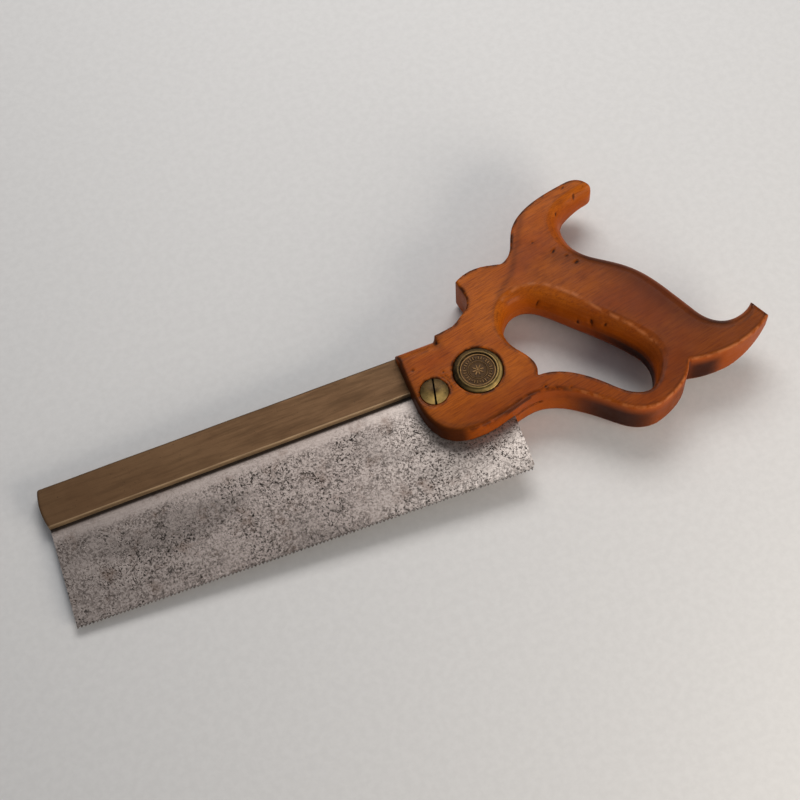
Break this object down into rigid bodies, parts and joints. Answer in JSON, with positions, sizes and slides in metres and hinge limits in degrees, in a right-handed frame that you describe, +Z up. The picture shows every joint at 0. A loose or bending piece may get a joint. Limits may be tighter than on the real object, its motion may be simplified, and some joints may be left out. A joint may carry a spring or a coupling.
{
  "type": "back saw",
  "caption": "Small back saw lying on its side: fine-toothed steel plate in a folded brass back, with a closed wooden handle, medallion bolt and slotted saw screw.",
  "frame": {"origin": "middle of the base of the object's box, on the surface that the saw lies on", "axes": "+X from the toe of the plate to the handle, along the back; +Y from the teeth to the back; +Z up, out of the medallion side. The saw lies on its side, tilted about Y by 2.4 degrees, because it rests on the toe of the thin back and on the thicker handle."},
  "size_m": [0.3266, 0.1238, 0.0272],
  "materials": {
    "apple_wood": "old satin varnish, worn on the grip",
    "saw_steel": "old polished plate with dark pitting",
    "brass_back": "dull brown patina, bright on the lower edges",
    "brass_fastener": "dark patina, bright on the raised edges",
    "medallion_brass": "stamped, dark in the hollows"
  },
  "bodies": {
    "saw": {"handle": "apple_wood", "blade": "saw_steel", "back": "brass_back", "medallion_bolt": "brass_fastener", "medallion_disc": "medallion_brass", "saw_nut": "brass_fastener"},
    "screw": {"saw_screw": "brass_fastener"},
    "nut": {"medallion_nut": "brass_fastener"}
  },
  "joints": [
    {"name": "saw_screw_turn", "type": "hinge", "parent": "saw", "child": "screw", "pos_m": [0.01275, -0.0155, 0.02092], "axis": [-0.0421, 0, 0.9991], "range_deg": [0, 270]},
    {"name": "medallion_nut_turn", "type": "hinge", "parent": "saw", "child": "nut", "pos_m": [0.035, -0.0132, 0.00124], "axis": [0.0421, 0, -0.9991], "range_deg": [0, 270]}
  ]
}
